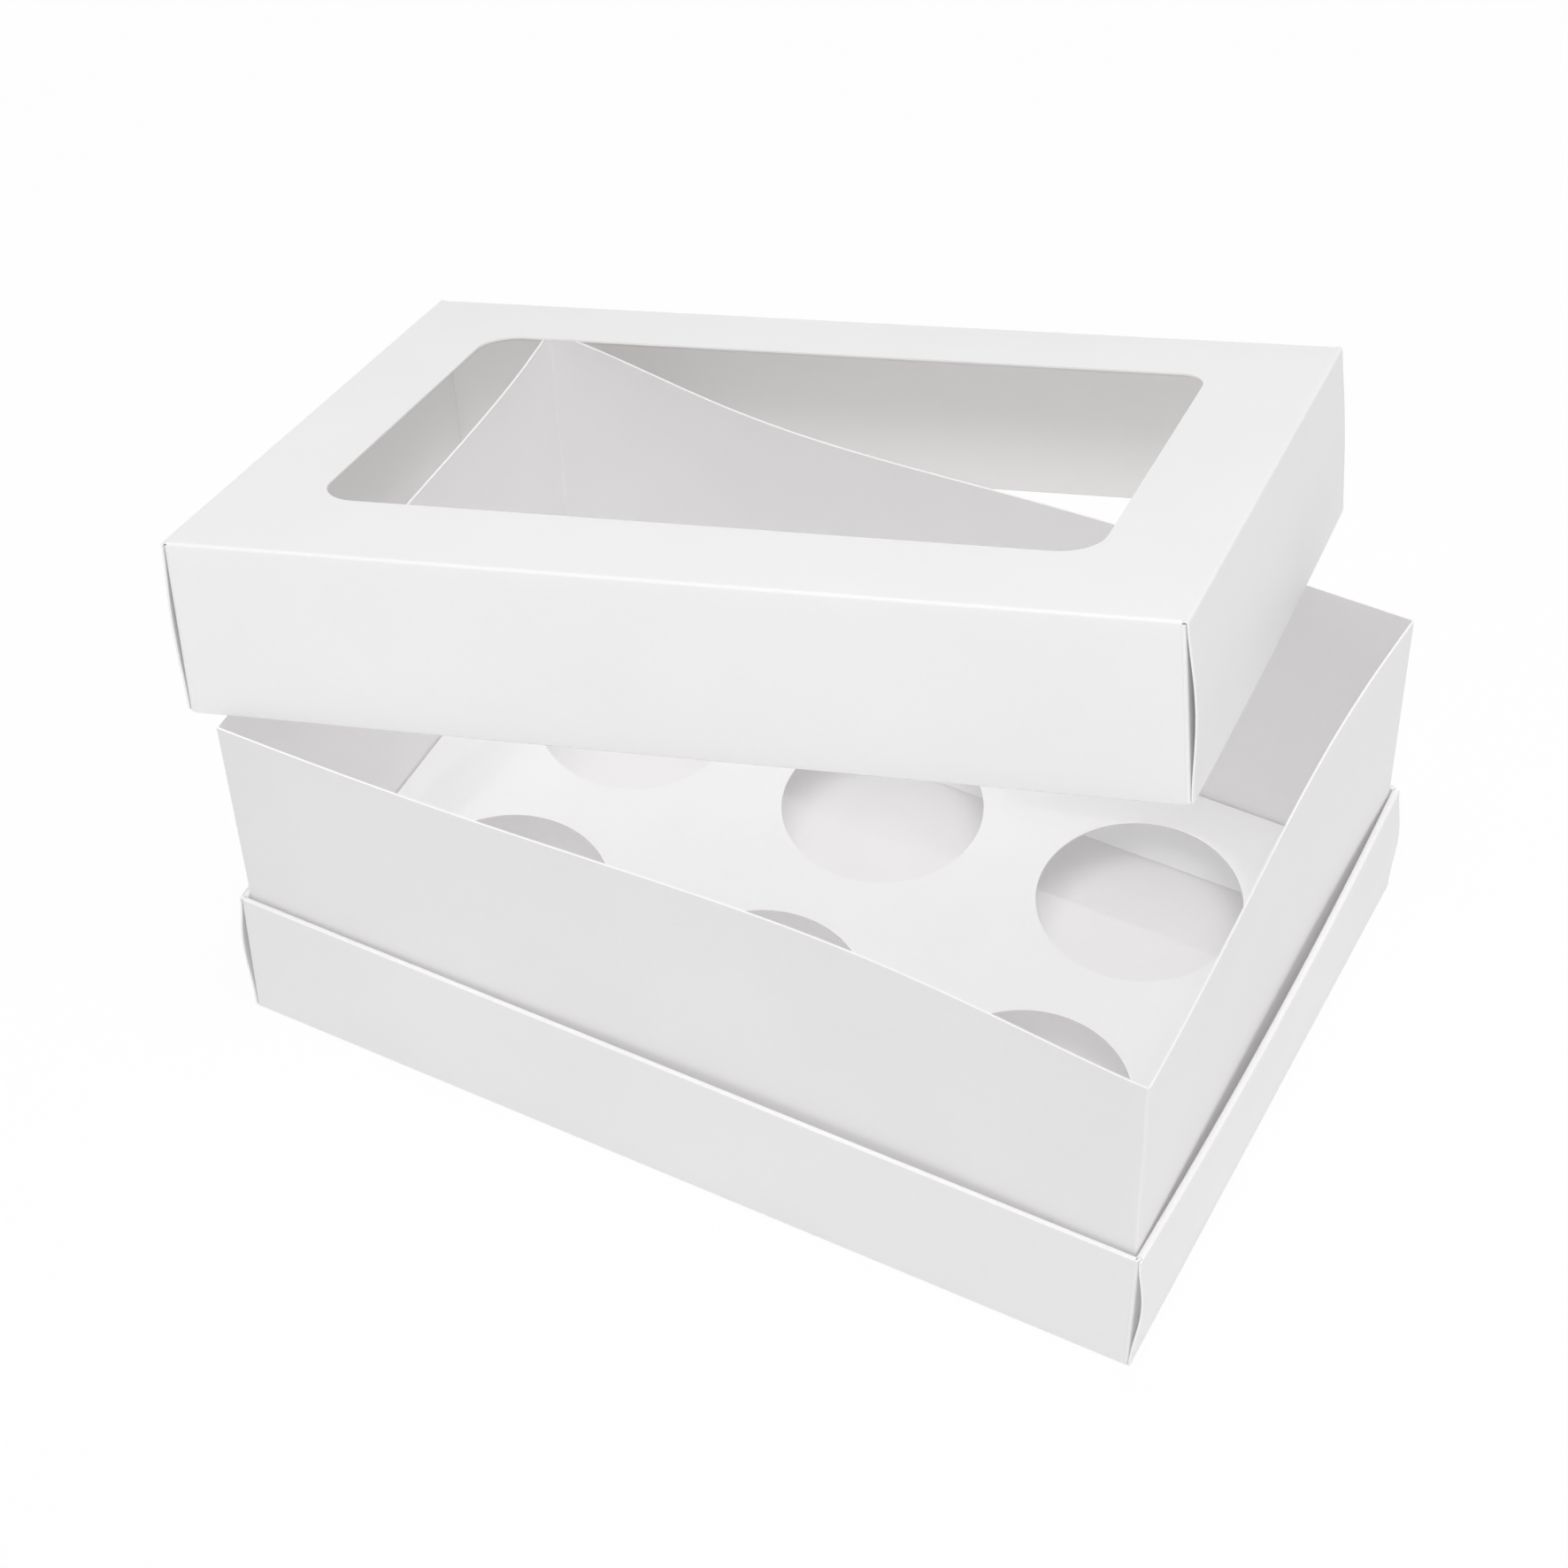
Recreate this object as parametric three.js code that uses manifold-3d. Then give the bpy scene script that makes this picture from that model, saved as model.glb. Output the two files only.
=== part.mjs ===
// Cupcake box in white folding card: a shallow tray, a tall collar that stands in it,
// an insert with six round holes, and a lid with a clear window. The lid lies askew on the
// collar, one corner let down over the collar's corner. Millimetres, +Z up, the origin in the
// middle of the tray's underside, X along the long side, the front wall facing -Y.

import * as THREE from 'three';
import { mergeVertices } from 'three/addons/utils/BufferGeometryUtils.js';
import Module from 'manifold-3d';

const wasm = await Module();
wasm.setup();

// Card, folds and fits
const card = 0.5; // thickness of the board
const creaseRadius = 0.9; // outer radius of a folded edge
const hemGap = 0.2; // air between the two layers of a long wall
const tabClearance = 0.1; // air on each side of a corner tab
const cutEdgeInset = 0.3; // cut edge of an end panel, in from the corner
const footGap = 0.1; // inner panel's lower edge above the floor
const restGap = 0.05; // a loose edge above the floor it stands on
const touchGap = 0.3; // lid and what it leans on
const tabLength = 36; // corner tab inside the end wall

// Collar
const collarLength = 236.2;
const collarWidth = 155;
const collarTop = 100; // above the underside of the tray
const frontBow = 5.4; // how far the top edge of each wall leans in
const frontBowAt = 35; // deepest point, from the middle of the wall
const backBow = 7.8;
const backBowAt = -30;
const rightBow = 2.7;
const rightBowAt = 26;
const leftBow = 1.6;
const leftBowAt = 28;
const bowStart = 3; // the walls start to lean this far above the insert
const bowRise = 1.25; // how the lean grows with height

// Insert
const insertTop = 15; // above the underside of the tray
const insertClearance = 0.5; // insert to the collar's inner face
const flapLength = 20.5; // long edges fold down and in
const flapEndCut = 6; // the flaps are shorter than the platform
const holeRadius = 26;
const holesAlong = 3;
const holesAcross = 2;
const holePitchX = 72;
const holePitchY = 68;
const holeShiftX = -2.5; // the pattern is a little off the middle
const holeShiftY = 2.8;

// Tray
const trayHeight = 40;
const endClearance = 0.2; // collar to the inside of an end wall
const trayFloorGap = 2.55; // collar to the long walls, at the floor
const trayRimGapFront = 0.9; // the same at the rim, where the long walls lean in
const trayRimGapBack = 0.6;
const trayEndBow = 1.6; // the end walls' rim curves out between the corners
const trayEndBulge = 1.5; // an end's outer panel stands off its corner tabs
const trayBulgeAt = 13; // height of the widest point

// Lid
const lidHeight = 43.5;
const lidSideClearance = 0.25; // collar to the inside of a long wall
const lidEndBow = 0.5;
const lidEndBulge = 1.3;
const lidBulgeAt = 21;
const windowLeft = 24.4; // window edge to each side of the lid
const windowRight = 27.6;
const windowFront = 29.7;
const windowBack = 22.7;
const windowRadius = 10;
const film = 0.25;
const filmOverlap = 5;

// How the lid lies: its front wall crosses the collar's left wall, its right wall crosses the
// collar's back wall, and its top rests on the collar's back left corner
const lidFrontCrossing = 4.2; // from the collar's front, along the left wall
const lidBackCrossing = 28.1; // from the collar's right side, along the back wall
const lidTurn = -26.5; // degrees, long side of the lid to the line through both crossings

// Sizes that follow
const longWall = 2 * card + hemGap;
const endWall = 3 * card + 2 * tabClearance;
const trayLength = collarLength + 2 * (endClearance + endWall);
const trayWidth = collarWidth + 2 * (trayFloorGap + longWall);
const lidLength = collarLength + 2 * (endClearance + endWall);
const lidWidth = collarWidth + 2 * (lidSideClearance + longWall);

function solid(geometry) {
  geometry.deleteAttribute('normal');
  geometry.deleteAttribute('uv');
  const merged = mergeVertices(geometry, 1e-5);
  return new wasm.Manifold(new wasm.Mesh({
    numProp: 3,
    vertProperties: new Float32Array(merged.attributes.position.array),
    triVerts: new Uint32Array(merged.index.array),
  }));
}

function geometryOf(body) {
  const mesh = body.getMesh();
  const geometry = new THREE.BufferGeometry();
  geometry.setAttribute('position', new THREE.BufferAttribute(new Float32Array(mesh.vertProperties), 3));
  geometry.setIndex(new THREE.BufferAttribute(new Uint32Array(mesh.triVerts), 1));
  return geometry;
}

// Moves every vertex of a geometry by a function of its place
function bend(geometry, move) {
  const position = geometry.attributes.position;
  const point = new THREE.Vector3();
  for (let i = 0; i < position.count; i += 1) {
    point.fromBufferAttribute(position, i);
    move(point);
    position.setXYZ(i, point.x, point.y, point.z);
  }
  return geometry;
}

// A sheet of card whose middle line runs through the points of a path, drawn across two axes
// and repeated at each station along the third
function sheet(path, stations, place, closed = false) {
  const points = path.filter((point, i) => i === 0 || point.distanceTo(path[i - 1]) > 1e-6);
  const count = points.length;
  const sides = points.map((point, i) => {
    const last = closed ? points[(i + count - 1) % count] : points[i - 1];
    const next = closed ? points[(i + 1) % count] : points[i + 1];
    const before = last ? point.clone().sub(last).normalize() : null;
    const after = next ? next.clone().sub(point).normalize() : null;
    const along = (before || after).clone().add(after || before).normalize();
    const miter = card / 2 / along.dot(before || after);
    const side = new THREE.Vector2(-along.y, along.x).multiplyScalar(miter);
    return [point.clone().add(side), point.clone().sub(side)];
  });
  const vertices = [];
  stations.forEach((station) => {
    sides.forEach((pair) => pair.forEach((point) => vertices.push(...place(point.x, point.y, station))));
  });
  const rows = stations.length;
  const at = (row, i, side) => (row * count + (i % count)) * 2 + side;
  const index = [];
  const quad = (p, q, r, t) => index.push(p, q, r, p, r, t);
  const links = closed ? count : count - 1;
  for (let i = 0; i < links; i += 1) {
    for (let row = 0; row < rows - 1; row += 1) {
      quad(at(row, i, 0), at(row, i + 1, 0), at(row + 1, i + 1, 0), at(row + 1, i, 0));
      quad(at(row, i, 1), at(row + 1, i, 1), at(row + 1, i + 1, 1), at(row, i + 1, 1));
    }
    quad(at(0, i, 1), at(0, i + 1, 1), at(0, i + 1, 0), at(0, i, 0));
    quad(at(rows - 1, i, 0), at(rows - 1, i + 1, 0), at(rows - 1, i + 1, 1), at(rows - 1, i, 1));
  }
  if (!closed) {
    for (let row = 0; row < rows - 1; row += 1) {
      quad(at(row, 0, 0), at(row + 1, 0, 0), at(row + 1, 0, 1), at(row, 0, 1));
      quad(at(row, links, 1), at(row + 1, links, 1), at(row + 1, links, 0), at(row, links, 0));
    }
  }
  const geometry = new THREE.BufferGeometry();
  geometry.setAttribute('position', new THREE.Float32BufferAttribute(vertices, 3));
  geometry.setIndex(volumeOf(vertices, index) < 0 ? index.reverse() : index);
  return geometry;
}

function volumeOf(vertices, index) {
  const corner = (i) => new THREE.Vector3().fromArray(vertices, 3 * index[i]);
  let volume = 0;
  for (let i = 0; i < index.length; i += 3) {
    volume += corner(i).dot(corner(i + 1).cross(corner(i + 2))) / 6;
  }
  return volume;
}

// Evenly spaced stations
function spaced(from, to, steps) {
  return Array.from({ length: steps + 1 }, (_, i) => from + (i / steps) * (to - from));
}

const alongX = (y, z, x) => [x, y, z];
const alongY = (x, z, y) => [x, y, z];
const upZ = (x, y, z) => [x, y, z];

function plate(shape, from, to) {
  const geometry = new THREE.ExtrudeGeometry(shape, { depth: to - from, bevelEnabled: false });
  return geometry.translate(0, 0, from);
}

function turned(geometry) {
  return geometry.rotateZ(Math.PI);
}

function roundedRectangle(target, x0, x1, y0, y1, radius) {
  target.moveTo(x0 + radius, y0);
  target.lineTo(x1 - radius, y0);
  target.absarc(x1 - radius, y0 + radius, radius, -Math.PI / 2, 0, false);
  target.lineTo(x1, y1 - radius);
  target.absarc(x1 - radius, y1 - radius, radius, 0, Math.PI / 2, false);
  target.lineTo(x0 + radius, y1);
  target.absarc(x0 + radius, y1 - radius, radius, Math.PI / 2, Math.PI, false);
  target.lineTo(x0, y0 + radius);
  target.absarc(x0 + radius, y0 + radius, radius, Math.PI, 1.5 * Math.PI, false);
  return target;
}

// A shallow open box folded from one sheet, its panel down and its rim up. The long walls turn
// the corners as tabs, and each end wall folds over the tabs from outside to inside.
function foldedShell({ length, width, height, leanFront, leanBack, endBow, endBulge, bulgeAt }) {
  const a = length / 2;
  const b = width / 2;
  const centreRadius = creaseRadius - card / 2;
  const hemTop = height - longWall / 2;
  const endTop = height - endWall / 2;

  const lean = (point) => {
    const rise = Math.max(0, (point.z - creaseRadius) / (height - creaseRadius));
    const most = point.y < 0 ? leanFront : leanBack;
    point.y -= (point.y / b) * most * rise;
  };
  const bowOut = (point) => {
    const rise = Math.max(0, (point.z - creaseRadius) / (height - creaseRadius));
    point.x += Math.sign(point.x) * endBow * (1 - (point.y / b) ** 2) * rise;
    lean(point);
  };

  // Floor and long walls, one strip from foot to foot
  const strip = new THREE.Path();
  strip.moveTo(-b + 1.5 * card + hemGap, card + footGap);
  strip.lineTo(-b + 1.5 * card + hemGap, hemTop);
  strip.absarc(-b + longWall / 2, hemTop, (card + hemGap) / 2, 0, Math.PI, false);
  strip.lineTo(-b + card / 2, creaseRadius);
  strip.absarc(-b + creaseRadius, creaseRadius, centreRadius, Math.PI, 1.5 * Math.PI, false);
  strip.lineTo(b - creaseRadius, card / 2);
  strip.absarc(b - creaseRadius, creaseRadius, centreRadius, -Math.PI / 2, 0, false);
  strip.lineTo(b - card / 2, hemTop);
  strip.absarc(b - longWall / 2, hemTop, (card + hemGap) / 2, 0, Math.PI, false);
  strip.lineTo(b - 1.5 * card - hemGap, card + footGap);
  const tabX = a - 1.5 * card - tabClearance;
  const bendX = tabX - centreRadius;
  let body = solid(bend(sheet(strip.getPoints(3), [-bendX, bendX], alongX), lean));

  // Outer panel of an end wall, bulging between floor and rim
  const bulgeFrom = creaseRadius;
  const bulgeTo = endTop - 1;
  const skew = Math.log(0.5) / Math.log((bulgeAt - bulgeFrom) / (bulgeTo - bulgeFrom));
  const outer = new THREE.Path();
  outer.moveTo(a - 12, card / 2);
  outer.lineTo(a - creaseRadius, card / 2);
  outer.absarc(a - creaseRadius, creaseRadius, centreRadius, -Math.PI / 2, 0, false);
  const panel = outer.getPoints(3);
  const bulgeSteps = 7;
  for (let i = 1; i <= bulgeSteps; i += 1) {
    const share = i / bulgeSteps;
    const out = endBulge * Math.max(0, Math.sin(Math.PI * share ** skew)) ** 1.5;
    panel.push(new THREE.Vector2(a - card / 2 + out, bulgeFrom + share * (bulgeTo - bulgeFrom)));
  }
  panel.push(new THREE.Vector2(a - card / 2, endTop));

  // Rim and inner panel of an end wall, between the long walls
  const inner = new THREE.Path();
  inner.moveTo(a - card / 2, bulgeTo);
  inner.lineTo(a - card / 2, endTop);
  inner.absarc(a - endWall / 2, endTop, (endWall - card) / 2, 0, Math.PI, false);
  inner.lineTo(a - endWall + card / 2, card + footGap);

  // Corner tab, carried round the corner from the long wall
  const tab = new THREE.Path();
  tab.moveTo(bendX - 3, -b + card / 2);
  tab.lineTo(bendX, -b + card / 2);
  tab.absarc(bendX, -b + creaseRadius, centreRadius, -Math.PI / 2, 0, false);
  const tabPoints = tab.getPoints(3);
  const tabSteps = 3;
  for (let i = 1; i <= tabSteps; i += 1) {
    tabPoints.push(new THREE.Vector2(tabX, -b + creaseRadius + (i / tabSteps) * (tabLength - creaseRadius)));
  }
  const mirrored = tabPoints.map((point) => new THREE.Vector2(point.x, -point.y));

  const outerHalf = b - cutEdgeInset;
  const innerHalf = b - longWall - tabClearance;
  const pieces = [
    () => sheet(panel, spaced(-outerHalf, outerHalf, 6), alongY),
    () => sheet(inner.getPoints(3), spaced(-innerHalf, innerHalf, 6), alongY),
    () => sheet(tabPoints, [creaseRadius, hemTop], upZ),
    () => sheet(mirrored, [creaseRadius, hemTop], upZ),
  ];
  pieces.forEach((make) => {
    body = body.add(solid(bend(make(), bowOut)));
    body = body.add(solid(bend(turned(make()), bowOut)));
  });
  return body;
}

function mesh(name, geometry, colour, roughness, extra = {}) {
  const material = new THREE.MeshStandardMaterial({ color: colour, roughness, metalness: 0, ...extra });
  const shown = new THREE.Mesh(geometry, material);
  shown.name = name;
  return shown;
}

const box = new THREE.Group();

// Tray
const tray = foldedShell({
  length: trayLength,
  width: trayWidth,
  height: trayHeight,
  leanFront: trayFloorGap - trayRimGapFront,
  leanBack: trayFloorGap - trayRimGapBack,
  endBow: trayEndBow,
  endBulge: trayEndBulge,
  bulgeAt: trayBulgeAt,
});
box.add(mesh('base_tray', geometryOf(tray), 0xf3f2f2, 0.55));

// Collar: a band of single card with folded corners, its walls leaning in above the insert
const ca = collarLength / 2;
const cb = collarWidth / 2;

function dip(place, half, depth, at, sharp) {
  const towards = Math.sign(at);
  const share = THREE.MathUtils.clamp((half + place * towards) / (2 * half), 0, 1);
  const skew = Math.log(0.5) / Math.log((half + Math.abs(at)) / (2 * half));
  return depth * Math.max(0, Math.sin(Math.PI * share ** skew)) ** sharp;
}

function collarLean(point) {
  const start = insertTop + bowStart;
  const rise = Math.max(0, (point.z - start) / (collarTop - start)) ** bowRise;
  const inFront = dip(point.x, ca, frontBow, frontBowAt, 1.5);
  const inBack = dip(point.x, ca, backBow, backBowAt, 2);
  const inRight = dip(point.y, cb, rightBow, rightBowAt, 1);
  const inLeft = dip(point.y, cb, leftBow, leftBowAt, 1);
  const onLong = Math.abs(point.y) > cb - 1.5 * card && Math.abs(point.x) < ca - creaseRadius / 2;
  const onEnd = Math.abs(point.x) > ca - 1.5 * card && Math.abs(point.y) < cb - creaseRadius / 2;
  if (onLong) {
    point.y += rise * (point.y < 0 ? inFront : -inBack);
  } else if (onEnd) {
    point.x += rise * (point.x < 0 ? inLeft : -inRight);
  }
}

function bandPath() {
  const inset = card / 2;
  const radius = creaseRadius - inset;
  const walls = [[1, -1, 12], [1, 1, 16], [-1, 1, 12], [-1, -1, 16]];
  const points = [];
  walls.forEach(([sx, sy, steps], i) => {
    const centre = new THREE.Vector2(sx * (ca - creaseRadius), sy * (cb - creaseRadius));
    for (let k = 0; k <= 4; k += 1) {
      const angle = (i - 1 + k / 4) * (Math.PI / 2);
      points.push(new THREE.Vector2(Math.cos(angle), Math.sin(angle)).multiplyScalar(radius).add(centre));
    }
    const [nx, ny] = walls[(i + 1) % 4];
    const reach = new THREE.Vector2(Math.cos((i * Math.PI) / 2), Math.sin((i * Math.PI) / 2));
    const next = new THREE.Vector2(nx * (ca - creaseRadius), ny * (cb - creaseRadius))
      .addScaledVector(reach, radius);
    const last = points[points.length - 1];
    for (let k = 1; k < steps; k += 1) {
      points.push(last.clone().lerp(next, k / steps));
    }
  });
  return points;
}

const band = bend(sheet(bandPath(), spaced(card, collarTop, 8), upZ, true), collarLean);
box.add(mesh('collar', geometryOf(solid(band)), 0xf1f0f1, 0.6));

// Insert: a platform with round holes, its long edges folded down and in to stand on the floor
const platformHalfX = ca - card - insertClearance;
const platformHalfY = cb - card - insertClearance;
const insertCentreZ = insertTop - card / 2;
const edgeRadius = creaseRadius - card / 2;
const floorZ = card + restGap;
const flapDrop = insertCentreZ - floorZ - card / 2;
const flapSlope = Math.asin(Math.min(0.999, flapDrop / flapLength));
const foldTurn = Math.PI - flapSlope;
const flapFold = new THREE.Path();
const foldY = platformHalfY - creaseRadius;
flapFold.moveTo(0, insertCentreZ);
flapFold.lineTo(foldY, insertCentreZ);
flapFold.absarc(foldY, insertCentreZ - edgeRadius, edgeRadius, Math.PI / 2, Math.PI / 2 - foldTurn, true);
const flapPath = flapFold.getPoints(4);
const foldEnd = flapPath[flapPath.length - 1];
const flapHeel = floorZ + (card / 2) * Math.cos(flapSlope);
const flapRun = (foldEnd.y - flapHeel) / Math.tan(flapSlope);
flapPath.push(new THREE.Vector2(foldEnd.x - flapRun, flapHeel));
const wholePath = flapPath.slice(1).reverse().map((point) => new THREE.Vector2(-point.x, point.y))
  .concat(flapPath.slice(1));
const plateY = foldY - creaseRadius; // beyond the flaps the platform ends at a cut edge
const platformShape = roundedRectangle(new THREE.Shape(), -platformHalfX, platformHalfX, -plateY, plateY, 1);
const flapHalfX = platformHalfX - flapEndCut;
let insert = solid(plate(platformShape, insertTop - card, insertTop));
insert = insert.add(solid(sheet(wholePath, [-flapHalfX, flapHalfX], alongX)));
for (let i = 0; i < holesAlong; i += 1) {
  for (let j = 0; j < holesAcross; j += 1) {
    const hole = new THREE.CylinderGeometry(holeRadius, holeRadius, 4, 48);
    hole.rotateX(Math.PI / 2);
    hole.translate(
      holeShiftX + (i - (holesAlong - 1) / 2) * holePitchX,
      holeShiftY + (j - (holesAcross - 1) / 2) * holePitchY,
      insertTop - card / 2,
    );
    insert = insert.subtract(solid(hole));
  }
}
box.add(mesh('cupcake_insert', geometryOf(insert), 0xf4f3f3, 0.55));

// Lid: the same folded box turned over, with a window cut in its panel
let lid = foldedShell({
  length: lidLength,
  width: lidWidth,
  height: lidHeight,
  leanFront: 0,
  leanBack: 0,
  endBow: lidEndBow,
  endBulge: lidEndBulge,
  bulgeAt: lidBulgeAt,
});
const windowX0 = -lidLength / 2 + windowLeft;
const windowX1 = lidLength / 2 - windowRight;
const windowY0 = -lidWidth / 2 + windowFront;
const windowY1 = lidWidth / 2 - windowBack;
const windowShape = roundedRectangle(new THREE.Shape(), windowX0, windowX1, -windowY1, -windowY0, windowRadius);
lid = lid.subtract(solid(plate(windowShape, -1, card + 1)));
const lidGeometry = geometryOf(lid);
lidGeometry.rotateX(Math.PI);
lidGeometry.translate(0, 0, lidHeight);

const filmGeometry = new THREE.BoxGeometry(
  windowX1 - windowX0 + 2 * filmOverlap,
  windowY1 - windowY0 + 2 * filmOverlap,
  film,
);
filmGeometry.translate(
  (windowX0 + windowX1) / 2,
  (windowY0 + windowY1) / 2,
  lidHeight - card - touchGap - film / 2,
);

// The lid's plane is set by three touches on the collar's top edge, one of them under its panel
const onLeft = new THREE.Vector3(-ca + card / 2, -cb + lidFrontCrossing, collarTop);
const onBack = new THREE.Vector3(ca - lidBackCrossing, cb - card / 2, collarTop);
const onCorner = new THREE.Vector3(-ca, cb, collarTop);
const line = onBack.clone().sub(onLeft).normalize();
const reach = onCorner.clone().sub(onLeft);
reach.addScaledVector(line, -reach.dot(line));
const tilt = Math.asin((lidHeight - card) / reach.length());
const up = reach.clone().normalize().multiplyScalar(Math.sin(tilt));
up.z += Math.cos(tilt);
const across = up.clone().cross(line);
const turn = THREE.MathUtils.degToRad(lidTurn);
const lidX = line.clone().multiplyScalar(Math.cos(turn)).addScaledVector(across, Math.sin(turn));
const lidY = up.clone().cross(lidX);
const seat = new THREE.Vector3()
  .addScaledVector(lidX, onBack.dot(lidX) - (lidLength - endWall) / 2)
  .addScaledVector(lidY, onLeft.dot(lidY) + (lidWidth - longWall) / 2)
  .addScaledVector(up, onLeft.dot(up) + touchGap);

const lidGroup = new THREE.Group();
lidGroup.quaternion.setFromRotationMatrix(new THREE.Matrix4().makeBasis(lidX, lidY, up));
lidGroup.position.copy(seat);
lidGroup.add(mesh('lid', lidGeometry, 0xf7f7f7, 0.45));
lidGroup.add(mesh('window_film', filmGeometry, 0xffffff, 0.1, { transparent: true, opacity: 0.15 }));
box.add(lidGroup);

export default box;
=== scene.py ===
"""Cupcake box in white folding card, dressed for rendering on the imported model.

Millimetres in the geometry code, metres in every Blender mesh. Same frame as the CAD: +Z up,
the origin in the middle of the tray's underside, X along the long side, the front facing -Y.
"""

import math

import bmesh
import bpy
import numpy as np
from mathutils import Euler, Matrix, Vector


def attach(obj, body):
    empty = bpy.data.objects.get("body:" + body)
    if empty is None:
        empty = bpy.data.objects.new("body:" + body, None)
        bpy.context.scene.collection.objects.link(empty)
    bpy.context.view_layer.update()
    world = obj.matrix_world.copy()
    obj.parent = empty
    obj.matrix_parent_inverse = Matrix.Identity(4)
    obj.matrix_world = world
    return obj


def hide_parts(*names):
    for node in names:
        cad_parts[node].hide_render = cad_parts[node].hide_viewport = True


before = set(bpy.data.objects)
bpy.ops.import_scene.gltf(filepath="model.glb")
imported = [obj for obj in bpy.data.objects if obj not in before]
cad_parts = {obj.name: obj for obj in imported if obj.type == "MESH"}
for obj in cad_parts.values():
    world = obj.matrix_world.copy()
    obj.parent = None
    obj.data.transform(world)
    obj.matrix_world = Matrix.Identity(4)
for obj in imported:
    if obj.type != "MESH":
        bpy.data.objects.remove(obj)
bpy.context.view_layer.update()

MM = 0.001
QUARTER, HALF, FULL = math.pi / 2, math.pi, 2 * math.pi

# Card, folds and fits
CARD = 0.5
CREASE = 0.9  # outer radius of a fold
FOLD_RADIUS = CREASE - CARD / 2  # of the card's middle line in a fold
HEM_GAP = 0.2  # between the two layers of a long wall
TAB_CLEARANCE = 0.1  # on each side of a tab inside an end wall
TAB_LENGTH = 36.0
CUT_INSET = 0.3  # the outer end panels stop this far from the corners
FOOT_GAP = 0.1  # the inner layers stop this far above the panel
REST_GAP = 0.05  # the insert's legs stay this far above the tray's floor
TOUCH_GAP = 0.3  # the lid stays this far from what it leans on
LONG_WALL = 2 * CARD + HEM_GAP
END_WALL = 3 * CARD + 2 * TAB_CLEARANCE
FACE_MARGIN = 0.05  # slack for telling faces apart by place

# Collar: half its sides, and for each wall's lean its depth, its deepest place and its sharpness
COLLAR_LENGTH = 236.2
COLLAR_WIDTH = 155.0
COLLAR_TOP = 100.0
COLLAR_X = COLLAR_LENGTH / 2
COLLAR_Y = COLLAR_WIDTH / 2
FRONT_BOW = (5.4, 35.0, 1.5)
BACK_BOW = (6.4, -42.0, 1.9)
RIGHT_BOW = (2.7, 26.0, 1.0)
LEFT_BOW = (1.6, 45.0, 1.0)
BOW_START = 3.0  # the walls start to lean this far above the insert
BOW_RISE = 1.25  # how the lean grows with height

# Insert
INSERT_TOP = 15.0
INSERT_CLEARANCE = 0.5
FLAP_LENGTH = 20.5
FLAP_END_CUT = 6.0
HOLE_RADIUS = 26.0
HOLES = (3, 2)
HOLE_PITCH = (72.0, 68.0)
HOLE_SHIFT = (-2.5, 2.8)

# Tray and lid. Bulges are shares of end_bulge at -Y and +Y, first for the end at +X, then at -X.
# The lid is folded with its panel down and then turned over, so its front is at +Y in its list.
END_CLEARANCE = 0.2
TRAY_SIDE_CLEARANCE = 2.55
LID_SIDE_CLEARANCE = 0.25
RIM_GAP_FRONT = 0.65
RIM_GAP_BACK = 0.6
SHELL_LENGTH = COLLAR_LENGTH + 2 * (END_CLEARANCE + END_WALL)
TRAY = dict(length=SHELL_LENGTH, width=COLLAR_WIDTH + 2 * (TRAY_SIDE_CLEARANCE + LONG_WALL),
            height=40.0, lean_front=TRAY_SIDE_CLEARANCE - RIM_GAP_FRONT,
            lean_back=TRAY_SIDE_CLEARANCE - RIM_GAP_BACK, end_bow=1.6,
            end_bulge=1.5, bulge_at=22.0, bulges=((1.1, 0.8), (0.9, 0.9)))
LID = dict(length=SHELL_LENGTH, width=COLLAR_WIDTH + 2 * (LID_SIDE_CLEARANCE + LONG_WALL),
           height=43.5, lean_front=0.0, lean_back=0.0, end_bow=0.5,
           end_bulge=1.3, bulge_at=21.0, bulges=((0.35, 1.0), (0.6, 0.6)))
BULGE_MARGIN = 1.0  # the bulge ends this far below the rim's centre
BULGE_SHARPNESS = 1.5
WINDOW_MARGINS = dict(left=24.4, right=27.6, front=29.7, back=22.7)
WINDOW_RADII = (7.5, 10.0, 10.0, 9.0)  # back right, front right, front left, back left

# Lid's place: how far along the collar's left and back walls it crosses them, and its turn
FRONT_CROSSING = 4.2
BACK_CROSSING = 28.1
LID_TURN = math.radians(-26.5)

# Steps along the paths and rows of corners across the sheets
FOLD_STEPS = 8
LONG_RIM_STEPS = 12
END_RIM_STEPS = 14
HALF_PANEL_STEPS = 2
HEM_STEPS = 6
WALL_STEPS = 8
BULGE_STEPS = 32
FLAP_FOLD_STEPS = 14
HOLE_STEPS = 120
WINDOW_STEPS = 14
COLLAR_END_STEPS = 60
COLLAR_LONG_STEPS = 84
STRIP_ROWS = 9
END_ROWS = 33
TAB_ROWS = 7
COLLAR_ROWS = 37

# How far the cutters of window and holes reach below and above the card
WINDOW_CUT_BELOW = 1.0
HOLE_CUT_BELOW = 2.5
HOLE_CUT_ABOVE = 2.0

SHARP_ANGLE = math.radians(38.0)

# Finish of a face: coated board, cut edge, fold arc made lighter as a painted highlight, inner panel
FACE, CUT, FOLD_HIGHLIGHT, INNER = range(4)


# Paths
def arc(cx, cy, radius, start, end, steps):
    turn = np.linspace(start, end, steps + 1)
    return [(cx + radius * math.cos(t), cy + radius * math.sin(t)) for t in turn]


def line(p, q, steps=1):
    return [(p[0] + (q[0] - p[0]) * i / steps, p[1] + (q[1] - p[1]) * i / steps)
            for i in range(steps + 1)]


def with_mirror(half):
    """The path with its mirror image in front."""
    return [(-p, q) for p, q in reversed(half)] + half


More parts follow.
